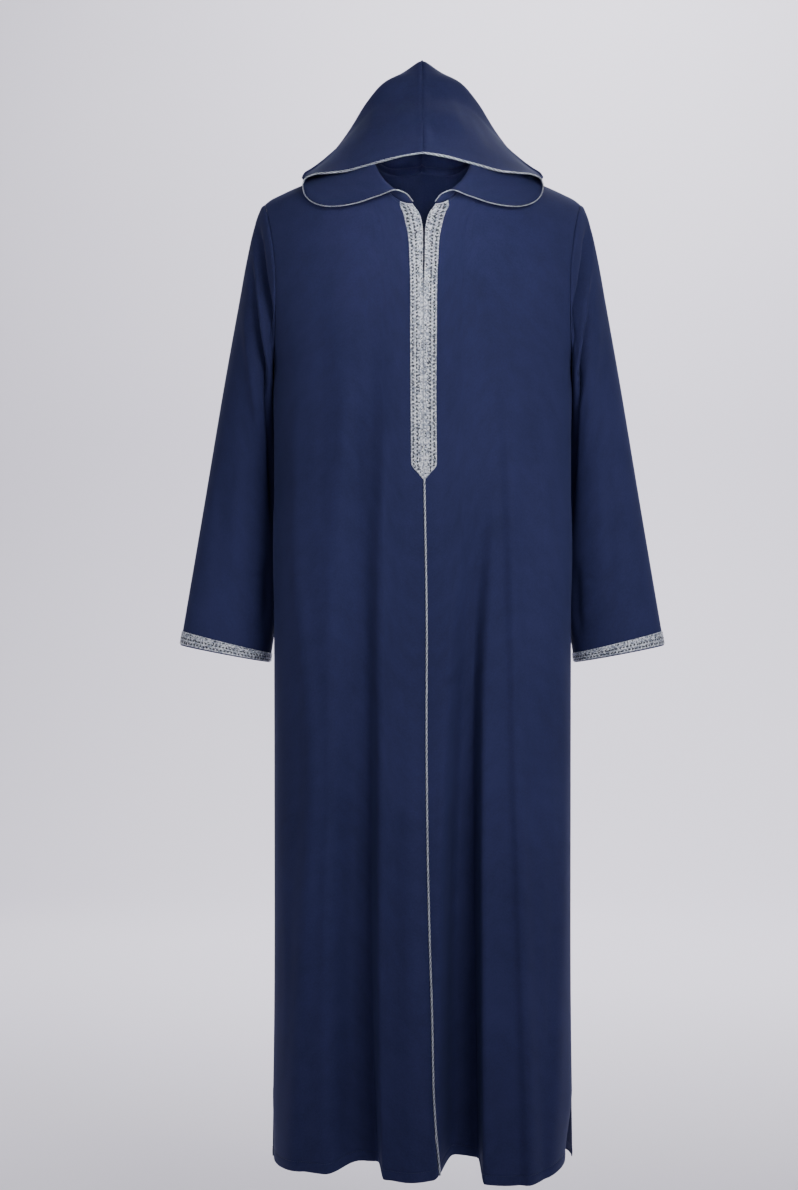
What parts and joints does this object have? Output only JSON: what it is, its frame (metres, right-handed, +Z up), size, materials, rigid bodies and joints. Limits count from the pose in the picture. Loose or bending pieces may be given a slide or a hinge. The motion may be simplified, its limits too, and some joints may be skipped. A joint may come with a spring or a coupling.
{
  "type": "thobe",
  "caption": "Long hooded thobe, filled out as worn, with wide long sleeves, a neck slit edged in silver braid, braided cuffs and side slits.",
  "frame": {"origin": "the middle of the neck, at the height where the shoulder seams reach it, where the wearer's shoulders hold the garment up", "axes": "+Z up along the body, +X towards the wearer's left, -Y towards the front"},
  "size_m": [0.7088, 0.3112, 1.6056],
  "materials": {
    "cloth": "matt navy weave",
    "braid": "silver metallic thread, satin"
  },
  "bodies": {
    "root": {"front_panel_right": "cloth", "front_panel_left": "cloth", "back_panel": "cloth", "sleeve_right": "cloth", "sleeve_left": "cloth", "hood_right": "cloth", "hood_left": "cloth", "placket_braid_right": "braid", "placket_braid_left": "braid", "cuff_braid_right": "braid", "cuff_braid_left": "braid", "hood_rim_cord": "braid", "front_seam_cord": "braid"}
  },
  "joints": []
}
